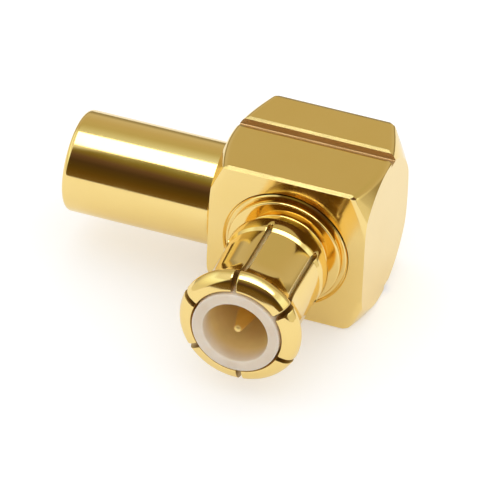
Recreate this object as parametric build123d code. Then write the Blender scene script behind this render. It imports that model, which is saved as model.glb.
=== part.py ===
from build123d import *
import os
from math import hypot, radians, tan

# A right-angle coaxial plug with its crimp ferrule on the stem, in millimetres.
# The mating axis runs along -Y and the cable axis along -X. They cross above the origin,
# which lies on the flat that the connector rests on.

# Housing: a short bar, turned about the cable axis
body_length = 4.6           # along the cable axis
body_height = 4.6           # from the rest flat to the top flat
front_depth = 1.74          # from the cable axis to the front face
rear_depth = 2.11           # from the cable axis to the rear face
end_face_diameter = 4.4     # flat round end, inside the turned chamfer
end_chamfer_angle = 30      # from the end face, in degrees
end_edge_round = 0.25       # where the turned chamfer meets the flats
edge_break = 0.13           # long edges and groove lips, across the top and bottom flats
edge_break_angle = 20       # from those flats, in degrees
groove_start = 0.34         # from the cable axis to the groove's front wall
groove_width = 0.36
groove_depth = 0.24
groove_root_round = 0.06

# Bores in the housing
front_seat_depth = 1.0
chamber_diameter = 2.64
cap_seat_depth = 0.75
seat_lip = 0.04             # broken edges of both seats

# Crimp stem
stem_root = 0.5             # how far it runs into the bar
spigot_length = 0.6
ferrule_clearance = 0.02    # radial, between the spigot and the ferrule
stem_diameter = 1.56
stem_length = 4.2           # from the end face, spigot included
stem_bore = 0.95
stem_lip = 0.1
ring_count = 4
ring_pitch = 0.75
ring_depth = 0.06
ring_width = 0.22
ring_inset = 0.3            # from the stem's mouth to its last ring

# Crimp ferrule
ferrule_diameter = 2.94
ferrule_bore = 2.2
ferrule_length = 4.5
ferrule_gap = 0.02          # from the end face at rest
ferrule_end_radius = 0.17
ferrule_bore_lip = 0.08

# Outer contact: distances along the mating axis are from the front face
flange_diameter = 3.64
flange_lip = 0.04
boss_diameter = 3.32
boss_height = 0.18
boss_lip = 0.05
waist_diameter = 2.62
waist_end = 0.56
collar_diameter = 2.98
collar_start = 0.72
collar_end = 1.1
neck_root_diameter = 2.83
neck_root = 1.24
neck_tip_diameter = 3.12
neck_tip = 3.28
ridge_diameter = 3.6
ridge_start = 3.7
ridge_land = 0.2
ridge_blend = 0.5           # hollow between the neck and the ridge
ridge_crown = 0.16          # rounding of the ridge
mouth_diameter = 2.78
mouth = 4.1
mouth_bore = 2.66
mouth_bore_start = 3.9
finger_bore = 2.62
finger_bore_start = 0.85
finger_count = 6
slot_width = 0.15
slot_start = 1.02
slot_angle = -5.4           # of the first slot, from straight up towards +X

# Insulator
insulator_diameter = 2.54
insulator_tail_diameter = 2.1
insulator_shoulder = 0.62
insulator_reach = 4.17      # beyond the front face
insulator_recess_bore = 1.89
insulator_recess_floor = 1.05
insulator_lip = 0.04

# Centre contact
pin_diameter = 0.5
pin_reach = 4.0
pin_nose = 0.3
pin_nose_diameter = 0.2
contact_diameter = 0.76
contact_collar_diameter = 1.2
contact_collar_length = 0.3
contact_rear = 0.46         # behind the cable axis
wire_slot_width = 0.32
wire_slot_floor = 0.16      # in front of the cable axis

# Rear cap
cap_diameter = 3.2
cap_thickness = 0.74
cap_lip = 0.07

axis_height = body_height / 2
end_face = body_length / 2
edge_break_drop = edge_break * tan(radians(edge_break_angle))
spigot_diameter = ferrule_bore - 2 * ferrule_clearance
mating = Plane(origin=(0, -front_depth, axis_height), x_dir=(1, 0, 0), z_dir=(0, -1, 0))
rearward = Plane(origin=(0, rear_depth, axis_height), x_dir=(1, 0, 0), z_dir=(0, 1, 0))
cable = Plane(origin=(-end_face, 0, axis_height), x_dir=(0, 1, 0), z_dir=(-1, 0, 0))


def turned(*corners):
    """A solid turned about Z from corners given as (diameter, height, radius)."""
    points = [(corner[0] / 2, corner[1]) for corner in corners]
    radii = [corner[2] if len(corner) > 2 else 0 for corner in corners]
    outline = FilletPolyline(*points, radius=radii, close=True)
    return revolve(Plane.XZ * make_face(outline), Axis.Z)


def bored(diameter, depth, lip):
    """A cutter for a seat that is sunk from Z = 0, with a broken edge at its mouth."""
    return turned(
        (0, lip), (diameter + 4 * lip, lip), (diameter, -lip), (diameter, -depth), (0, -depth)
    )


def double_cone():
    """The turned blank: its chamfers run on to a tip at either end."""
    slope = tan(radians(end_chamfer_angle))
    reach = 2 * hypot(max(front_depth, rear_depth), axis_height)
    tip = end_face + end_face_diameter / 2 * slope
    shoulder = tip - reach * slope / 2
    blank = turned((0, tip), (reach, shoulder), (reach, -shoulder), (0, -tip))
    return Pos(0, 0, axis_height) * Rot(0, 90, 0) * blank


def bar_section():
    """The bar between its end faces, with its long edges broken."""
    low, high = -front_depth, rear_depth
    section = Polyline(
        (low + edge_break, 0),
        (high - edge_break, 0),
        (high, edge_break_drop),
        (high, body_height - edge_break_drop),
        (high - edge_break, body_height),
        (low + edge_break, body_height),
        (low, body_height - edge_break_drop),
        (low, edge_break_drop),
        close=True,
    )
    return extrude(Plane.YZ * make_face(section), end_face, both=True)


def housing_bar():
    """The blank with its four flats milled, its edges rounded and its ends faced."""
    flats = Box(2 * body_length, front_depth + rear_depth, body_height)
    bar = Pos(0, (rear_depth - front_depth) / 2, axis_height) * flats & double_cone()
    bar = fillet(bar.edges().filter_by(GeomType.HYPERBOLA), end_edge_round)
    return bar & bar_section()


def groove():
    """The tool groove's cutter on the top flat."""
    front, back = groove_start, groove_start + groove_width
    floor = body_height - groove_depth
    corners = [
        (front - 2 * edge_break, body_height + edge_break_drop),
        (front, body_height - edge_break_drop),
        (front, floor),
        (back, floor),
        (back, body_height - edge_break_drop),
        (back + 2 * edge_break, body_height + edge_break_drop),
    ]
    radii = [0, 0, groove_root_round, groove_root_round, 0, 0]
    section = FilletPolyline(*corners, radius=radii, close=True)
    return extrude(Plane.YZ * make_face(section), body_length, both=True)


def crimp_stem():
    """The spigot that centres the ferrule, and the ringed stem that the braid is crimped on."""
    corners = [
        (0, -stem_root),
        (spigot_diameter, -stem_root),
        (spigot_diameter, spigot_length),
        (stem_diameter, spigot_length),
    ]
    first_ring = stem_length - ring_inset - (ring_count - 1) * ring_pitch
    for ring in range(ring_count):
        start = first_ring + ring * ring_pitch - ring_width / 2
        corners += [
            (stem_diameter, start),
            (stem_diameter - 2 * ring_depth, start + ring_depth),
            (stem_diameter - 2 * ring_depth, start + ring_width - ring_depth),
            (stem_diameter, start + ring_width),
        ]
    corners += [
        (stem_diameter, stem_length - stem_lip / 2),
        (stem_diameter - stem_lip, stem_length),
        (0, stem_length),
    ]
    return cable * turned(*corners)


def stem_passage():
    """The cable's bore, from the stem's mouth to the crossing of the axes."""
    return cable * turned(
        (0, -end_face),
        (stem_bore, -end_face),
        (stem_bore, stem_length - stem_lip),
        (stem_bore + 4 * stem_lip, stem_length + stem_lip),
        (0, stem_length + stem_lip),
    )


def housing():
    body = housing_bar() - groove()
    body -= mirror(groove(), about=Plane.XY.offset(axis_height))
    body += crimp_stem()
    body -= mating * bored(flange_diameter, front_seat_depth, seat_lip)
    body -= rearward * bored(cap_diameter, cap_seat_depth, seat_lip)
    chamber_length = front_depth + rear_depth
    body -= mating * Cylinder(
        chamber_diameter / 2, chamber_length, align=(Align.CENTER, Align.CENTER, Align.MAX)
    )
    return body - stem_passage()


def contact_shell():
    """The outer contact before slotting: flange, boss, waist, collar, fingers and snap ridge."""
    return turned(
        (insulator_tail_diameter, -front_seat_depth),
        (flange_diameter, -front_seat_depth),
        (flange_diameter, -flange_lip),
        (flange_diameter - 2 * flange_lip, 0),
        (boss_diameter, 0),
        (boss_diameter, boss_height - boss_lip),
        (boss_diameter - 2 * boss_lip, boss_height),
        (waist_diameter, boss_height),
        (waist_diameter, waist_end),
        (collar_diameter, collar_start),
        (collar_diameter, collar_end),
        (neck_root_diameter, neck_root),
        (neck_tip_diameter, neck_tip, ridge_blend),
        (ridge_diameter, ridge_start, ridge_crown),
        (ridge_diameter, ridge_start + ridge_land, ridge_crown),
        (mouth_diameter, mouth),
        (mouth_bore, mouth),
        (finger_bore, mouth_bore_start),
        (finger_bore, finger_bore_start),
        (insulator_diameter, finger_bore_start),
        (insulator_diameter, insulator_shoulder),
        (insulator_tail_diameter, insulator_shoulder),
    )


def finger_slot():
    """One slot, with a round root, along the top of the contact."""
    outward = (Align.CENTER, Align.MIN, Align.MIN)
    slot = Pos(0, 0, slot_start) * Box(slot_width, ridge_diameter, mouth, align=outward)
    root = Cylinder(slot_width / 2, ridge_diameter, align=(Align.CENTER, Align.CENTER, Align.MIN))
    return slot + Pos(0, 0, slot_start) * Rot(-90, 0, 0) * root


def outer_contact():
    contact = contact_shell()
    for finger in range(finger_count):
        contact -= Rot(0, 0, -slot_angle - 360 / finger_count * finger) * finger_slot()
    return mating * contact


def insulator():
    return mating * turned(
        (contact_diameter, -front_seat_depth),
        (insulator_tail_diameter, -front_seat_depth),
        (insulator_tail_diameter, insulator_shoulder),
        (insulator_diameter, insulator_shoulder),
        (insulator_diameter, insulator_reach - insulator_lip),
        (insulator_diameter - 2 * insulator_lip, insulator_reach),
        (insulator_recess_bore + 2 * insulator_lip, insulator_reach),
        (insulator_recess_bore, insulator_reach - insulator_lip),
        (insulator_recess_bore, insulator_recess_floor),
        (contact_diameter, insulator_recess_floor),
    )


def centre_contact():
    """The pin, its collar behind the insulator and the slotted post that takes the wire."""
    collar_rear = -front_seat_depth - contact_collar_length
    rear = -front_depth - contact_rear
    contact = turned(
        (0, rear),
        (contact_diameter, rear),
        (contact_diameter, collar_rear),
        (contact_collar_diameter, collar_rear),
        (contact_collar_diameter, -front_seat_depth),
        (contact_diameter, -front_seat_depth),
        (contact_diameter, insulator_recess_floor),
        (pin_diameter, insulator_recess_floor),
        (pin_diameter, pin_reach - pin_nose, pin_nose / 2),
        (pin_nose_diameter, pin_reach),
        (0, pin_reach),
    )
    slot_length = contact_rear + wire_slot_floor
    seated = (Align.CENTER, Align.CENTER, Align.MIN)
    slot = Box(contact_diameter, wire_slot_width, slot_length, align=seated)
    return mating * (contact - Pos(0, 0, rear) * slot)


def rear_cap():
    face = cap_thickness - cap_seat_depth
    return rearward * turned(
        (0, -cap_seat_depth),
        (cap_diameter, -cap_seat_depth),
        (cap_diameter, face - cap_lip),
        (cap_diameter - 2 * cap_lip, face),
        (0, face),
    )


def crimp_ferrule():
    near, far = ferrule_gap, ferrule_gap + ferrule_length
    return cable * turned(
        (ferrule_bore, near + ferrule_bore_lip),
        (ferrule_bore + 2 * ferrule_bore_lip, near),
        (ferrule_diameter, near, ferrule_end_radius),
        (ferrule_diameter, far, ferrule_end_radius),
        (ferrule_bore + 2 * ferrule_bore_lip, far),
        (ferrule_bore, far - ferrule_bore_lip),
    )


pieces = {
    "housing": housing(),
    "outer_contact": outer_contact(),
    "insulator": insulator(),
    "centre_contact": centre_contact(),
    "rear_cap": rear_cap(),
    "crimp_ferrule": crimp_ferrule(),
}

os.makedirs("parts", exist_ok=True)
for name, piece in pieces.items():
    export_step(piece, f"parts/{name}.step")
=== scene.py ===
import math
import bmesh
import bpy
from mathutils import Euler, Matrix, Vector


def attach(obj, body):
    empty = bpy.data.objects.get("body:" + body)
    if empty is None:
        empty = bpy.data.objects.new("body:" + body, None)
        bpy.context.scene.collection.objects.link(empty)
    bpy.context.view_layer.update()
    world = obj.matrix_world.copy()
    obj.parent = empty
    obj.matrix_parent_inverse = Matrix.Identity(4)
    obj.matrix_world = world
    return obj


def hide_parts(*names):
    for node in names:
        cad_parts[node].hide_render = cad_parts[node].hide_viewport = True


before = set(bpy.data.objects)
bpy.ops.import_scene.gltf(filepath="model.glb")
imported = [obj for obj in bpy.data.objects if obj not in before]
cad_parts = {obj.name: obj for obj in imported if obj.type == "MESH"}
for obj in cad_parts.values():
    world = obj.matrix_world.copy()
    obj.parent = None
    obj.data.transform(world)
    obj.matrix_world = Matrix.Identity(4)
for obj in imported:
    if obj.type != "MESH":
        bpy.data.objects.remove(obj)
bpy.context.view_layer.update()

mm = 0.001  # every form below is drawn in millimetres and brought to metres at the end
axisHeight = 2.3  # of the mating axis and the cable axis, over the rest flat
weldWithin = 1e-5  # points nearer than this become one
print("frame loaded, nodes:", ", ".join(sorted(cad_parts)))


# workshop
def placeAt(origin, xDir, zDir):
    xDir, zDir = Vector(xDir), Vector(zDir)
    place = Matrix((xDir, zDir.cross(xDir), zDir)).transposed().to_4x4()
    place.translation = Vector(origin)
    return place


def makeObject(name, bm):
    mesh = bpy.data.meshes.new(name)
    bm.to_mesh(mesh)
    bm.free()
    thing = bpy.data.objects.new(name, mesh)
    bpy.context.scene.collection.objects.link(thing)
    return thing


def bevel(bm, geometry, width, segments, affect="EDGES"):
    bmesh.ops.bevel(bm, geom=geometry, offset=width, offset_type="OFFSET", segments=segments,
                    profile=0.5, affect=affect, clamp_overlap=False, material=-1)


def roundCorner(bm, point, radius, segments):
    arms = [edge.other_vert(point).co - point.co for edge in point.link_edges]
    reach = radius / math.tan(arms[0].angle(arms[1]) / 2)
    bevel(bm, [point], reach, segments, "VERTICES")


def joinUp(bm, points, closed=True):
    for here, there in zip(points, points[1:] + (points[:1] if closed else [])):
        bm.edges.new((here, there))


def turn(corners, steps, startAngle=0.0):
    # corners are (diameter, height) or (diameter, height, radius, segments)
    bm = bmesh.new()
    start = Matrix.Rotation(startAngle, 4, "Z")
    points = [bm.verts.new(start @ Vector((corner[0] / 2, 0, corner[1]))) for corner in corners]
    joinUp(bm, points, closed=corners[0][0] > 0)  # a profile from the axis stays open
    for point, corner in zip(points, corners):
        if len(corner) > 2:
            roundCorner(bm, point, *corner[2:])
    bmesh.ops.spin(bm, geom=bm.verts[:] + bm.edges[:], cent=(0, 0, 0), axis=(0, 0, 1),
                   dvec=(0, 0, 0), angle=2 * math.pi, steps=steps, use_merge=True)
    bmesh.ops.remove_doubles(bm, verts=bm.verts, dist=weldWithin)
    bmesh.ops.recalc_face_normals(bm, faces=bm.faces)
    return bm


def block(low, high):
    bm = bmesh.new()
    bmesh.ops.create_cube(bm, size=1)
    low, high = Vector(low), Vector(high)
    bmesh.ops.scale(bm, vec=high - low, verts=bm.verts)
    bmesh.ops.translate(bm, vec=(low + high) / 2, verts=bm.verts)
    return bm


def move(bm, place):
    bmesh.ops.transform(bm, matrix=place, verts=bm.verts)
    return bm


def combine(bm, tool, operation):
    work, cutter = makeObject("work", bm), makeObject("cutter", tool)
    modifier = work.modifiers.new("combine", "BOOLEAN")
    modifier.object, modifier.operation, modifier.solver = cutter, operation, "EXACT"
    shaped = work.evaluated_get(bpy.context.evaluated_depsgraph_get()).to_mesh()
    result = bmesh.new()
    result.from_mesh(shaped)
    for thing in (work, cutter):
        mesh = thing.data
        bpy.data.objects.remove(thing)
        bpy.data.meshes.remove(mesh)
    bmesh.ops.remove_doubles(result, verts=result.verts, dist=weldWithin)
    return result


def faceOff(bm, point, outward):  # cuts away what stands beyond a plane
    cut = bmesh.ops.bisect_plane(bm, geom=bm.verts[:] + bm.edges[:] + bm.faces[:],
                                 dist=weldWithin, plane_co=point, plane_no=outward,
                                 clear_outer=True)
    rim = [item for item in cut["geom_cut"] if isinstance(item, bmesh.types.BMEdge)]
    bmesh.ops.holes_fill(bm, edges=rim, sides=0)


def sharpEdges(bm, degrees):
    limit = math.radians(degrees)
    return [edge for edge in bm.edges if len(edge.link_faces) == 2
            and edge.calc_face_angle(0) > limit]


def putOnShow(name, bm, node, body, materials, creaseAngle=32):
    bmesh.ops.scale(bm, vec=(mm, mm, mm), verts=bm.verts)
    piece = makeObject(name, bm)
    mesh = piece.data
    for material in materials:
        mesh.materials.append(material)
    mesh.polygons.foreach_set("use_smooth", [True] * len(mesh.polygons))
    mesh.set_sharp_from_angle(angle=math.radians(creaseAngle))
    evenShade = piece.modifiers.new("evenShade", "WEIGHTED_NORMAL")
    evenShade.mode, evenShade.keep_sharp, evenShade.weight = "FACE_AREA", True, 60
    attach(piece, body)
    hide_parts(node)
    print(f"{name}: {len(mesh.polygons)} faces")


# shading tools
noiseRange = 0.3, 0.7  # nearly all of a noise lies between these


def newMaterial(name):
    material = bpy.data.materials.new(name)
    material.use_nodes = True
    material.node_tree.nodes.clear()
    return material, material.node_tree


def addNode(tree, kind, inputs, **settings):  # an input takes a value, or the socket that feeds it
    node = tree.nodes.new("ShaderNode" + kind)
    for setting, value in settings.items():
        setattr(node, setting, value)
    for socket, value in inputs.items():
        if isinstance(value, bpy.types.NodeSocket):
            tree.links.new(value, node.inputs[socket])
        else:
            node.inputs[socket].default_value = value
    return node.outputs


def noise(tree, place, scale, detail=2, roughness=0.5):
    return addNode(tree, "TexNoise", {"Vector": place, "Scale": scale, "Detail": detail,
                                      "Roughness": roughness})["Fac"]


def ranged(tree, value, low, high, span=noiseRange):
    return addNode(tree, "MapRange", {"Value": value, "From Min": span[0], "From Max": span[1],
                                      "To Min": low, "To Max": high})["Result"]


def fade(tree, value, start, end):
    return addNode(tree, "MapRange", {"Value": value, "From Min": start, "From Max": end},
                   interpolation_type="SMOOTHSTEP")["Result"]


def maths(tree, operation, *values):
    return addNode(tree, "Math", dict(enumerate(values)), operation=operation)["Value"]


def mixed(tree, factor, first, second, blend="MIX"):
    return addNode(tree, "Mix", {"Factor": factor, "A": first, "B": second},
                   data_type="RGBA", blend_type=blend)["Result"]


def colourRamp(tree, value, stops):
    node = tree.nodes.new("ShaderNodeValToRGB")
    elements = node.color_ramp.elements
    while len(elements) < len(stops):
        elements.new(0.5)
    for element, (position, colour) in zip(elements, stops):
        element.position, element.color = position, (*colour, 1)
    tree.links.new(value, node.inputs["Fac"])
    return node.outputs["Color"]


def bump(tree, height, strength, depth, under=None):
    inputs = {"Height": height, "Strength": strength, "Distance": depth}
    if under:
        inputs["Normal"] = under
    return addNode(tree, "Bump", inputs)["Normal"]


# finishes
def latheMarks(tree, here, along, across):  # distance along the axis, and from it
    centred = addNode(tree, "Mapping", {"Vector": here, "Location": (0, 0, -axisHeight * mm)})
    split = addNode(tree, "SeparateXYZ", {"Vector": centred["Vector"]})
    ring = addNode(tree, "CombineXYZ", {"X": split[across], "Y": split["Z"]})
    radius = addNode(tree, "VectorMath", {0: ring["Vector"]}, operation="LENGTH")
    return addNode(tree, "CombineXYZ", {"X": split[along], "Y": radius["Value"]})["Vector"]


def goldPlate(name, grain, look):  # grain is flat, cableTurned or matingTurned
    material, tree = newMaterial(name)
    here = addNode(tree, "TexCoord", {})["Object"]
    if grain == "flat":  # the tool marks run along the bar
        stretch = (look["flatStretch"], 1, 1)
        path = addNode(tree, "Mapping", {"Vector": here, "Scale": stretch})["Vector"]
    elif grain == "cableTurned":
        path = latheMarks(tree, here, along="X", across="Y")
    else:
        path = latheMarks(tree, here, along="Y", across="X")
    marks = noise(tree, path, look["markScale"], 2, 0.6)
    smudges = noise(tree, here, look["smudgeScale"], 4, 0.6)
    clouds = ranged(tree, noise(tree, here, look["cloudScale"], 3), 0, 1)
    scored = bump(tree, marks, look["markStrength"], look["markDepth"])
    shader = addNode(tree, "BsdfPrincipled", {
        "Metallic": 1.0,
        "Base Color": mixed(tree, clouds, look["gold"], look["deepGold"]),
        "Roughness": maths(tree, "MULTIPLY", ranged(tree, marks, 0.8, 1.2),
                           ranged(tree, smudges, look["polished"], look["dull"])),
        "Normal": bump(tree, noise(tree, here, look["rippleScale"], 1), look["rippleStrength"],
                       look["rippleDepth"], under=scored),
    })
    addNode(tree, "OutputMaterial", {"Surface": shader["BSDF"]})
    return material


goldLook = {
    "gold": (0.94, 0.712, 0.285, 1), "deepGold": (0.92, 0.685, 0.255, 1), "cloudScale": 500,
    "markScale": 30000, "markStrength": 0.15, "markDepth": 5e-7, "flatStretch": 0.03,
    "smudgeScale": 900, "polished": 0.07, "dull": 0.12,
    "rippleScale": 700, "rippleStrength": 0.2, "rippleDepth": 3e-6,
}
milledGold = goldPlate("milledGold", "flat", {**goldLook, "polished": 0.09, "dull": 0.15})
# the groove's gold is darker, which is painted shade in the groove, and rougher
grooveShadeGold = goldPlate("grooveShadeGold", "flat", {
    **goldLook, "gold": (0.68, 0.48, 0.25, 1), "deepGold": (0.62, 0.43, 0.21, 1),
    "polished": 0.42, "dull": 0.52})
turnedGold = goldPlate("turnedGold", "cableTurned", goldLook)
contactGold = goldPlate("contactGold", "matingTurned", goldLook)
# the slot walls' gold is darker, which is painted shade in the narrow slots, and rougher
slotShadeGold = goldPlate("slotShadeGold", "matingTurned", {
    **goldLook, "gold": (0.5, 0.34, 0.12, 1), "deepGold": (0.42, 0.28, 0.09, 1),
    "polished": 0.3, "dull": 0.45})
pinGold = goldPlate("pinGold", "matingTurned", {**goldLook, "polished": 0.38, "dull": 0.46})
ferruleGold = goldPlate("ferruleGold", "cableTurned", goldLook)


def whiteFluoropolymer(name, look):
    material, tree = newMaterial(name)
    here = addNode(tree, "TexCoord", {})["Object"]
    clouds = noise(tree, here, look["cloudScale"], 3)
    white = colourRamp(tree, clouds, list(zip(noiseRange, look["tones"])))
    # painted light: the parts that lie deep in the contact get a warm colour that stands in for light
    # thrown on them from the gold round them
    depth = fade(tree, addNode(tree, "SeparateXYZ", {"Vector": here})["Y"],
                 look["paintedGoldLightFrom"] * mm, look["paintedGoldLightFull"] * mm)
    shader = addNode(tree, "BsdfPrincipled", {
        "Base Color": mixed(tree, depth, white, look["paintedGoldLight"], "MULTIPLY"),
        "Roughness": ranged(tree, clouds, look["polished"], look["dull"], span=(0, 1)),
        "Normal": bump(tree, noise(tree, here, look["skinScale"]), look["skinStrength"],
                       look["skinDepth"]),
        "IOR": look["refraction"],
        "Subsurface Weight": look["translucency"],
        "Subsurface Radius": look["scatter"],
        "Subsurface Scale": look["scatterDepth"],
    })
    addNode(tree, "OutputMaterial", {"Surface": shader["BSDF"]})
    return material


ptfeWhite = whiteFluoropolymer("ptfeWhite", {
    "tones": ((0.72, 0.6, 0.47), (0.8, 0.69, 0.57)), "cloudScale": 1500,
    # the warm colour on the next line is painted light from the gold round the sleeve, laid on the
    # parts deep in the contact
    "paintedGoldLight": (1.25, 1.08, 0.58, 1), "paintedGoldLightFrom": -5.9, "paintedGoldLightFull": -5.2,
    "polished": 0.32, "dull": 0.45, "skinScale": 9000, "skinStrength": 0.2, "skinDepth": 2e-6,
    "refraction": 1.36, "translucency": 0.6, "scatter": (1.0, 0.85, 0.6), "scatterDepth": 0.0005,
})
print("finishes made")


# housing
housing = {
    "halfLength": 2.3, "front": -1.74, "rear": 2.11, "top": 2 * axisHeight,
    "endFace": 4.4, "coneAngle": 30, "coneSteps": 72, "blank": 7.2, "endEdgeRound": 0.25,
    "edgeBreak": 0.13, "edgeBreakAngle": 20, "cornerCut": 0.08, "cornerLean": (0.41, 0.64, 0.65),
    "grooveFront": 0.34, "grooveWidth": 0.36, "grooveDepth": 0.24, "grooveRoot": 0.03,
    "grooveLip": 0.1, "grooveReach": 3,
    "frontSeat": 3.64, "frontSeatDepth": 1.0, "chamber": 2.64,
    "rearSeat": 3.2, "rearSeatDepth": 0.75, "seatLip": 0.04, "seatSteps": 192,
    "stemRoot": 0.5, "spigot": 2.16, "spigotLength": 0.6, "spigotRound": 0.04,
    "stem": 1.56, "stemLength": 4.2, "stemLip": 0.1, "stemSteps": 128,
    "rings": 4, "ringPitch": 0.75, "ringDepth": 0.06, "ringWidth": 0.22, "ringInset": 0.3,
    "stemBore": 0.95, "stemBoreSteps": 96,
}
coneSlope = math.tan(math.radians(housing["coneAngle"]))
breakSlope = math.tan(math.radians(housing["edgeBreakAngle"]))
mating = placeAt((0, housing["front"], axisHeight), (1, 0, 0), (0, -1, 0))  # on the front face
rearward = placeAt((0, housing["rear"], axisHeight), (1, 0, 0), (0, 1, 0))  # on the rear face
cable = placeAt((-housing["halfLength"], 0, axisHeight), (0, 1, 0), (-1, 0, 0))  # on the end face


def doubleCone():  # the turned blank, whose chamfers run on to a tip at either end
    tip = housing["halfLength"] + housing["endFace"] / 2 * coneSlope
    shoulder = tip - housing["blank"] / 2 * coneSlope
    bm = turn([(0, -tip), (housing["blank"], -shoulder), (housing["blank"], shoulder), (0, tip)],
              housing["coneSteps"])
    move(bm, Matrix.Rotation(math.pi / 2, 4, "Y"))
    return move(bm, Matrix.Translation((0, 0, axisHeight)))


def runsAlongBar(edge):
    direction = (edge.verts[1].co - edge.verts[0].co).normalized()
    return abs(direction.x) > 0.98


def flatBar():
    front, rear, top, half = housing["front"], housing["rear"], housing["top"], housing["halfLength"]
    bm = combine(block((-2 * half, front, 0), (2 * half, rear, top)), doubleCone(), "INTERSECT")
    bmesh.ops.dissolve_limit(bm, angle_limit=math.radians(0.5), verts=bm.verts, edges=bm.edges)
    endEdges = [edge for edge in sharpEdges(bm, degrees=25) if not runsAlongBar(edge)]
    bevel(bm, endEdges, housing["endEdgeRound"] * coneSlope, segments=5)
    lean = math.radians(housing["edgeBreakAngle"])
    aside, outwards, upwards = housing["cornerLean"]
    for y, out in ((front, -1), (rear, 1)):
        endAt = half - (math.hypot(y, axisHeight) - housing["endFace"] / 2) * coneSlope
        for z, up in ((0, -1), (top, 1)):
            faceOff(bm, (0, y - out * housing["edgeBreak"], z),
                    (0, out * math.sin(lean), up * math.cos(lean)))
            for side in (-1, 1):  # the sharp corners are taken off
                outward = Vector((side * aside, out * outwards, up * upwards)).normalized()
                faceOff(bm, Vector((side * endAt, y, z)) - outward * housing["cornerCut"], outward)
    for side in (-1, 1):
        faceOff(bm, (side * half, 0, 0), (side, 0, 0))
    return bm


def grooveCutter(onTop):
    front, back = housing["grooveFront"], housing["grooveFront"] + housing["grooveWidth"]
    lip, drop, reach = housing["grooveLip"], housing["grooveLip"] * breakSlope, housing["grooveReach"]
    roof, floor = housing["top"], housing["top"] - housing["grooveDepth"]
    outline = [(front - 2 * lip, roof + drop), (front, roof - drop), (front, floor), (back, floor),
               (back, roof - drop), (back + 2 * lip, roof + drop)]
    bm = bmesh.new()
    corners = [bm.verts.new((-reach, y, z)) for y, z in outline]
    joinUp(bm, corners)
    for corner in corners[2:4]:
        roundCorner(bm, corner, housing["grooveRoot"], 4)
    bmesh.ops.contextual_create(bm, geom=bm.edges[:])
    swept = bmesh.ops.extrude_face_region(bm, geom=bm.faces[:])["geom"]
    farEnd = [item for item in swept if isinstance(item, bmesh.types.BMVert)]
    bmesh.ops.translate(bm, vec=(2 * reach, 0, 0), verts=farEnd)
    if not onTop:
        bmesh.ops.scale(bm, vec=(1, 1, -1), verts=bm.verts)
        bmesh.ops.translate(bm, vec=(0, 0, housing["top"]), verts=bm.verts)
    bmesh.ops.recalc_face_normals(bm, faces=bm.faces)
    return bm


def boreCutter():
    lip, through = housing["seatLip"], housing["rear"] - housing["front"]
    frontSeat, rearSeat, chamber = housing["frontSeat"], housing["rearSeat"], housing["chamber"]
    frontFloor, rearFloor = -housing["frontSeatDepth"], housing["rearSeatDepth"] - through
    bm = turn([
        (0, lip), (frontSeat + 4 * lip, lip), (frontSeat, -lip), (frontSeat, frontFloor),
        (chamber, frontFloor), (chamber, rearFloor), (rearSeat, rearFloor),
        (rearSeat, lip - through), (rearSeat + 4 * lip, -lip - through), (0, -lip - through),
    ], housing["seatSteps"])
    return move(bm, mating)


def crimpStem():
    wide, deep, mouth = housing["stem"], housing["ringDepth"], housing["stemLength"]
    spigot, spigotEnd = housing["spigot"], housing["spigotLength"]
    corners = [(0, -housing["stemRoot"]), (spigot, -housing["stemRoot"]),
               (spigot, spigotEnd, housing["spigotRound"], 3), (wide, spigotEnd)]
    first = mouth - housing["ringInset"] - (housing["rings"] - 1) * housing["ringPitch"]
    for ring in range(housing["rings"]):
        start = first + ring * housing["ringPitch"] - housing["ringWidth"] / 2
        end = start + housing["ringWidth"]
        corners += [(wide, start), (wide - 2 * deep, start + deep), (wide - 2 * deep, end - deep),
                    (wide, end)]
    corners += [(wide, mouth - housing["stemLip"] / 2), (wide - housing["stemLip"], mouth), (0, mouth)]
    return move(turn(corners, housing["stemSteps"]), cable)


def cableBore():
    bore, lip, end = housing["stemBore"], housing["stemLip"], housing["stemLength"]
    bm = turn([(0, -housing["halfLength"]), (bore, -housing["halfLength"]), (bore, end - lip),
               (bore + 4 * lip, end + lip), (0, end + lip)], housing["stemBoreSteps"])
    return move(bm, cable)


def bodyFinish(face):  # 0 on the flats, which are milled, 1 where the bar is turned, 2 in a groove, whose darker gold is painted shade
    place, margin = face.calc_center_median(), 0.01
    sunk = min(place.z, housing["top"] - place.z)
    back = housing["grooveFront"] + housing["grooveWidth"]
    if abs(face.normal.x) > 0.02 or place.x < -housing["halfLength"]:
        return 1
    inGroove = (housing["grooveFront"] - margin < place.y < back + margin
                and housing["edgeBreak"] * breakSlope < sunk < housing["grooveDepth"] + margin)
    return 2 if inGroove else 0


bodyMesh = flatBar()
for onTop in (True, False):
    bodyMesh = combine(bodyMesh, grooveCutter(onTop), "DIFFERENCE")
bodyMesh = combine(bodyMesh, crimpStem(), "UNION")
for cutter in (boreCutter(), cableBore()):
    bodyMesh = combine(bodyMesh, cutter, "DIFFERENCE")
bodyMesh.normal_update()
for face in bodyMesh.faces:
    face.material_index = bodyFinish(face)
putOnShow("rightAngleBody", bodyMesh, "housing", "connector",
          [milledGold, turnedGold, grooveShadeGold], creaseAngle=16)


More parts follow.
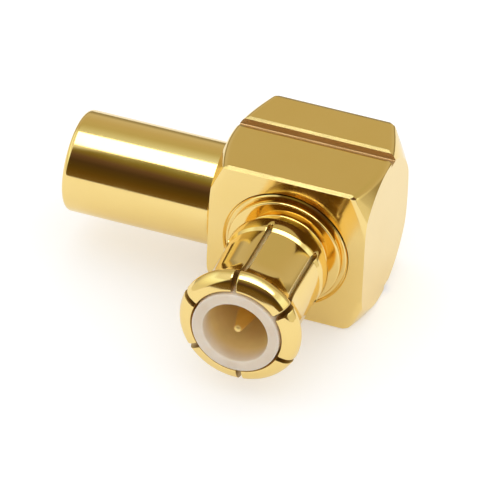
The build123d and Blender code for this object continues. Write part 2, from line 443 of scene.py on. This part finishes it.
# slotted outer contact
shell = {  # diameters, and distances in front of the face
    "seam": 3.58, "seamDepth": 0.14, "rimDepth": 0.03, "rim": 3.52,
    "relief": 3.41, "reliefDepth": 0.06, "boss": 3.32, "bossEnd": 0.18,
    "waist": 2.5, "waistEnd": 0.61, "collar": 3.0, "collarStart": 0.66,
    "collarAtSlots": 2.97, "collarFront": 2.96, "collarEnd": 1.1,
    "neck": 2.86, "neckStart": 1.22, "neckEnd": 2.9, "flare": 3.1, "flareEnd": 3.36,
    "ridge": 3.6, "ridgeAt": 3.66, "nose": 3.36, "noseAt": 4.0, "mouth": 2.78, "mouthAt": 4.1,
    "mouthBore": 2.66, "mouthBoreStart": 3.9, "fingerBore": 2.62, "fingerBoreStart": 0.85,
    "sleeveBore": 2.54, "shoulder": 0.62, "tailBore": 2.1, "steps": 300,
    "slots": 6, "slotWidth": 0.15, "slotStart": 1.02, "firstSlot": -5.4,  # degrees from the top
    "slotColumns": 5, "slotEdgeRound": 0.015,  # a slot takes this many columns of faces
}


def contactProfile():
    flange, rear = housing["frontSeat"], -housing["frontSeatDepth"]
    return [
        (shell["tailBore"], rear), (flange, rear), (flange, -shell["seamDepth"]),
        (shell["seam"], -shell["seamDepth"]), (shell["seam"], -shell["rimDepth"]),
        (shell["rim"], 0), (shell["relief"], 0), (shell["relief"], -shell["reliefDepth"]),
        (shell["boss"], -shell["reliefDepth"]), (shell["boss"], shell["bossEnd"], 0.05, 4),
        (shell["waist"], shell["bossEnd"], 0.03, 3), (shell["waist"], shell["waistEnd"], 0.02, 3),
        (shell["collar"], shell["collarStart"], 0.05, 4),
        (shell["collarAtSlots"], shell["slotStart"]),
        (shell["collarFront"], shell["collarEnd"], 0.03, 3),
        (shell["neck"], shell["neckStart"], 0.05, 4), (shell["neck"], shell["neckEnd"], 2, 8),
        (shell["flare"], shell["flareEnd"], 0.4, 10), (shell["ridge"], shell["ridgeAt"], 0.2, 8),
        (shell["nose"], shell["noseAt"], 0.32, 10), (shell["mouth"], shell["mouthAt"], 0.02, 3),
        (shell["mouthBore"], shell["mouthAt"]), (shell["fingerBore"], shell["mouthBoreStart"]),
        (shell["fingerBore"], shell["slotStart"]), (shell["fingerBore"], shell["fingerBoreStart"]),
        (shell["sleeveBore"], shell["fingerBoreStart"]), (shell["sleeveBore"], shell["shoulder"]),
        (shell["tailBore"], shell["shoulder"]),
    ]


def swing(point, middle):  # the angle from a slot's middle
    return (math.atan2(point.y, point.x) - middle + math.pi) % (2 * math.pi) - math.pi


def cutSlot(bm, middle, halfAngle):
    half, start = shell["slotWidth"] / 2, shell["slotStart"]
    nearStart, nearWall = 1e-4, 1e-3
    across = Matrix.Rotation(-middle, 3, "Z")
    roots = []
    for vert in bm.verts:
        turned = swing(vert.co, middle)
        if vert.co.z < start - nearStart or abs(turned) > halfAngle + nearWall:
            continue
        atRoot = vert.co.z < start + nearStart
        local = across @ vert.co
        reach = math.hypot(local.x, local.y)
        local.y = half * turned / halfAngle  # slot walls stand parallel
        local.x = math.sqrt(reach ** 2 - local.y ** 2)
        if atRoot:  # and end in a round root
            roots.append(vert)
            local.z -= math.sqrt(max(half ** 2 - local.y ** 2, 0))
        vert.co = across.inverted() @ local
    rootEdges = [edge for edge in bm.edges if edge.is_boundary
                 and edge.verts[0] in roots and edge.verts[1] in roots]
    bmesh.ops.bridge_loops(bm, edges=rootEdges)


def slottedContact():
    column = 2 * math.pi / shell["steps"]
    halfAngle = column * shell["slotColumns"] / 2
    firstSlot = math.radians(90 - shell["firstSlot"])
    pitch = math.radians(360 / shell["slots"])
    middles = [firstSlot - pitch * finger for finger in range(shell["slots"])]
    bm = turn(contactProfile(), shell["steps"], firstSlot + column / 2)
    gone = []
    for face in bm.faces:
        spot = face.calc_center_median()
        inSlot = any(abs(swing(spot, middle)) < halfAngle for middle in middles)
        if spot.z > shell["slotStart"] and inSlot:
            gone.append(face)
    bmesh.ops.delete(bm, geom=gone, context="FACES")
    for middle in middles:
        cutSlot(bm, middle, halfAngle)
    bmesh.ops.holes_fill(bm, edges=[edge for edge in bm.edges if edge.is_boundary], sides=0)
    bmesh.ops.recalc_face_normals(bm, faces=bm.faces)
    return bm


def onSlotWall(face):
    place = face.calc_center_median()
    sideways = Vector((-place.y, place.x, 0)).normalized()
    return place.z > shell["slotStart"] and abs(sideways.dot(face.normal)) > 0.9


contactMesh = slottedContact()
slotFoot = shell["slotStart"] - shell["slotWidth"] / 2
slotEdges = [edge for edge in sharpEdges(contactMesh, degrees=60)
             if max(vert.co.z for vert in edge.verts) > slotFoot]
bevel(contactMesh, slotEdges, shell["slotEdgeRound"], segments=2)
contactMesh.normal_update()
for face in contactMesh.faces:
    face.material_index = 1 if onSlotWall(face) else 0  # the saw leaves the walls dull, and their darker gold is painted shade in the slots
putOnShow("slottedContact", move(contactMesh, mating), "outer_contact", "connector",
          [contactGold, slotShadeGold])


# insulator
insulator = {"bore": 0.76, "recess": 1.89, "recessFloor": 1.05, "reach": 4.17, "steps": 160}
insulatorProfile = [
    (insulator["bore"], -housing["frontSeatDepth"]), (shell["tailBore"], -housing["frontSeatDepth"]),
    (shell["tailBore"], shell["shoulder"]), (shell["sleeveBore"], shell["shoulder"]),
    (shell["sleeveBore"], insulator["reach"], 0.04, 4),
    (insulator["recess"], insulator["reach"], 0.04, 4),
    (insulator["recess"], insulator["recessFloor"]), (insulator["bore"], insulator["recessFloor"]),
]
putOnShow("insulatorSleeve", move(turn(insulatorProfile, insulator["steps"]), mating),
          "insulator", "connector", [ptfeWhite])


# centre contact
centre = {
    "rear": -2.2, "collar": 1.2, "collarRear": -1.3, "pin": 0.5, "taperStart": 3.3,
    "tip": 0.2, "reach": 4.0, "wireSlot": 0.32, "wireSlotEnd": -1.58, "steps": 96,
}
centreProfile = [
    (0, centre["rear"]), (insulator["bore"], centre["rear"]),
    (insulator["bore"], centre["collarRear"]), (centre["collar"], centre["collarRear"]),
    (centre["collar"], -housing["frontSeatDepth"]), (insulator["bore"], -housing["frontSeatDepth"]),
    (insulator["bore"], insulator["recessFloor"]), (centre["pin"], insulator["recessFloor"]),
    (centre["pin"], centre["taperStart"], 1, 6), (centre["tip"], centre["reach"], 0.095, 8),
    (0, centre["reach"]),
]
clear = 0.1
wireSlot = block((-insulator["bore"] / 2 - clear, -centre["wireSlot"] / 2, centre["rear"] - clear),
                 (insulator["bore"] / 2 + clear, centre["wireSlot"] / 2, centre["wireSlotEnd"]))
centreMesh = combine(turn(centreProfile, centre["steps"]), wireSlot, "DIFFERENCE")
putOnShow("centrePin", move(centreMesh, mating), "centre_contact", "connector",
          [pinGold])


# rear cap
cap = {"face": -0.01, "edgeRound": 0.07, "steps": 160}
capProfile = [(0, -housing["rearSeatDepth"]), (housing["rearSeat"], -housing["rearSeatDepth"]),
              (housing["rearSeat"], cap["face"], cap["edgeRound"], 4), (0, cap["face"])]
putOnShow("pressedCap", move(turn(capProfile, cap["steps"]), rearward), "rear_cap", "connector",
          [contactGold])


# crimp ferrule
ferrule = {"outside": 2.94, "bore": 2.2, "gap": 0.02, "length": 4.5, "endRound": 0.17,
           "boreLip": 0.08, "steps": 192}
nearEnd, farEnd = ferrule["gap"], ferrule["gap"] + ferrule["length"]
boreMouth = ferrule["bore"] + 2 * ferrule["boreLip"]
ferruleProfile = [
    (ferrule["bore"], nearEnd + ferrule["boreLip"]), (boreMouth, nearEnd),
    (ferrule["outside"], nearEnd, ferrule["endRound"], 8),
    (ferrule["outside"], farEnd, ferrule["endRound"], 8),
    (boreMouth, farEnd), (ferrule["bore"], farEnd - ferrule["boreLip"]),
]
putOnShow("crimpSleeve", move(turn(ferruleProfile, ferrule["steps"]), cable), "crimp_ferrule",
          "ferrule", [ferruleGold])


# studio
studio = {  # in metres
    "floorHalf": 0.035, "floorWhite": (0.8, 0.8, 0.8, 1), "skyWhite": 1.0,
    "floorGlow": {"Is Camera Ray": 0.33, "Is Glossy Ray": 0.22, "Is Transmission Ray": 0.22},
    "boxHeight": 0.3, "boxGlow": 3.8,
    "boxFront": 21, "boxBack": 10.5, "boxLeft": 24, "boxRight": 42,  # degrees from overhead
}


def paleFloor():
    bm = bmesh.new()
    bmesh.ops.create_grid(bm, x_segments=1, y_segments=1, size=studio["floorHalf"])
    floor = makeObject("paleFloor", bm)
    material, tree = newMaterial("floorWhite")
    rays = addNode(tree, "LightPath", {})
    total = 0
    for ray, share in studio["floorGlow"].items():
        total = maths(tree, "MULTIPLY_ADD", rays[ray], share, total)
    diffuse = addNode(tree, "BsdfDiffuse", {"Color": studio["floorWhite"]})
    glow = addNode(tree, "Emission", {"Strength": total})
    both = addNode(tree, "AddShader", {0: diffuse["BSDF"], 1: glow["Emission"]})
    addNode(tree, "OutputMaterial", {"Surface": both["Shader"]})
    floor.data.materials.append(material)


def sky():
    world = bpy.data.worlds.new("studioSky")
    bpy.context.scene.world = world
    world.use_nodes = True
    background = world.node_tree.nodes["Background"]
    background.inputs["Color"].default_value = (1, 1, 1, 1)
    background.inputs["Strength"].default_value = studio["skyWhite"]


# what the polished gold mirrors: dark drapes on the near side, a grey wall behind
drapes = {  # elevation in degrees, then the colour there
    "opening": [
        (-15, (0.2, 0.13, 0.05)), (0, (0.16, 0.1, 0.03)), (9, (0.125, 0.072, 0.013)),
        (20, (0.09, 0.055, 0.012)), (32, (0.072, 0.042, 0.02)), (43, (0.13, 0.075, 0.05)),
        (52, (0.21, 0.16, 0.04)), (60, (0.27, 0.25, 0.1)), (67, (0.42, 0.4, 0.3)),
        (90, (0.7, 0.68, 0.6))],
    "sideWalls": [
        (-15, (0.82, 0.79, 0.7)), (6, (0.78, 0.75, 0.62)), (13, (0.9, 0.88, 0.7)),
        (22, (1.05, 1.1, 0.9)), (32, (1.1, 1.25, 1.2)), (40, (0.87, 0.86, 0.76)),
        (90, (1.0, 1.0, 1.0))],
    "backWall": [
        (-15, (0.3, 0.26, 0.17)), (4, (0.36, 0.31, 0.2)), (13, (0.61, 0.54, 0.4)),
        (22, (0.59, 0.52, 0.38)), (34, (0.56, 0.48, 0.31)), (51, (0.53, 0.475, 0.29)),
        (57, (0.58, 0.55, 0.38)), (65, (0.69, 0.7, 0.6)), (73, (0.83, 0.9, 0.95)),
        (75.5, (1.1, 1.25, 1.3)), (90, (1.3, 1.3, 1.3))],
    # where the opening and the back wall end, in degrees round from the front
    "openingLeft": -40, "openingRight": 58, "openingBlur": 4, "backFrom": 115, "backBlur": 10,
    "radius": 0.9, "foot": -15,  # of the dome that carries them, in metres and degrees
}


def mirroredOnly(card, tree, glow):  # shines, but is seen in the gold and nowhere else
    addNode(tree, "OutputMaterial", {"Surface": glow["Emission"]})
    card.visible_camera = card.visible_diffuse = card.visible_shadow = False
    card.visible_transmission = card.visible_volume_scatter = False


def reflectionDome():
    foot, radius = drapes["foot"], drapes["radius"]
    bm = bmesh.new()
    bmesh.ops.create_uvsphere(bm, u_segments=64, v_segments=32, radius=radius)
    lowest = radius * math.sin(math.radians(foot))
    bmesh.ops.bisect_plane(bm, geom=bm.verts[:] + bm.edges[:] + bm.faces[:], dist=1e-6,
                           plane_co=(0, 0, lowest), plane_no=(0, 0, -1), clear_outer=True)
    bmesh.ops.reverse_faces(bm, faces=bm.faces)
    dome = makeObject("reflectionDome", bm)
    material, tree = newMaterial("drapes")
    place = addNode(tree, "TexCoord", {})["Object"]
    unit = addNode(tree, "VectorMath", {0: place}, operation="NORMALIZE")["Vector"]
    split = addNode(tree, "SeparateXYZ", {"Vector": unit})
    height = ranged(tree, maths(tree, "ARCSINE", split["Z"]), 0, 1,
                    span=(math.radians(foot), math.pi / 2))
    bearing = maths(tree, "ARCTAN2", split["X"], maths(tree, "MULTIPLY", split["Y"], -1))

    def drape(name):
        stops = [((degrees - foot) / (90 - foot), colour) for degrees, colour in drapes[name]]
        return colourRamp(tree, height, stops)

    def beyond(angle, edge, blur):
        return fade(tree, angle, math.radians(drapes[edge] - drapes[blur]),
                    math.radians(drapes[edge] + drapes[blur]))

    opening = maths(tree, "SUBTRACT", beyond(bearing, "openingLeft", "openingBlur"),
                    beyond(bearing, "openingRight", "openingBlur"))
    behind = beyond(maths(tree, "ABSOLUTE", bearing), "backFrom", "backBlur")
    nearSide = mixed(tree, opening, drape("sideWalls"), drape("opening"))
    glow = addNode(tree, "Emission", {"Color": mixed(tree, behind, nearSide, drape("backWall"))})
    dome.data.materials.append(material)
    mirroredOnly(dome, tree, glow)


def softbox():
    high = studio["boxHeight"]
    front, back, left, right = (high * math.tan(math.radians(studio[reach]))
                                for reach in ("boxFront", "boxBack", "boxLeft", "boxRight"))
    bm = bmesh.new()
    bmesh.ops.create_grid(bm, x_segments=1, y_segments=1, size=1)
    bmesh.ops.scale(bm, vec=((left + right) / 2, (front + back) / 2, 1), verts=bm.verts)
    bmesh.ops.translate(bm, vec=((right - left) / 2, (back - front) / 2, high), verts=bm.verts)
    box = makeObject("softbox", bm)
    material, tree = newMaterial("softboxCloth")
    glow = addNode(tree, "Emission", {"Strength": studio["boxGlow"]})
    box.data.materials.append(material)
    mirroredOnly(box, tree, glow)


paleFloor()
sky()
reflectionDome()
softbox()
print("studio set")


# camera
view = {
    "place": (51.8827, -164.9407, 130.2473), "turnedBy": (53.1813, -2.2951, 19.6828),
    "lens": 552.9, "sensor": 36, "clip": (0.01, 10),
}
lensData = bpy.data.cameras.new("photoCamera")
lensData.lens, lensData.sensor_width = view["lens"], view["sensor"]
lensData.clip_start, lensData.clip_end = view["clip"]
camera = bpy.data.objects.new("photoCamera", lensData)
facing = Euler([math.radians(angle) for angle in view["turnedBy"]])
camera.matrix_world = Matrix.LocRotScale(Vector(view["place"]) * mm, facing, None)
bpy.context.scene.collection.objects.link(camera)
bpy.context.scene.camera = camera
bpy.context.scene.view_settings.view_transform = "Standard"
print("camera set")
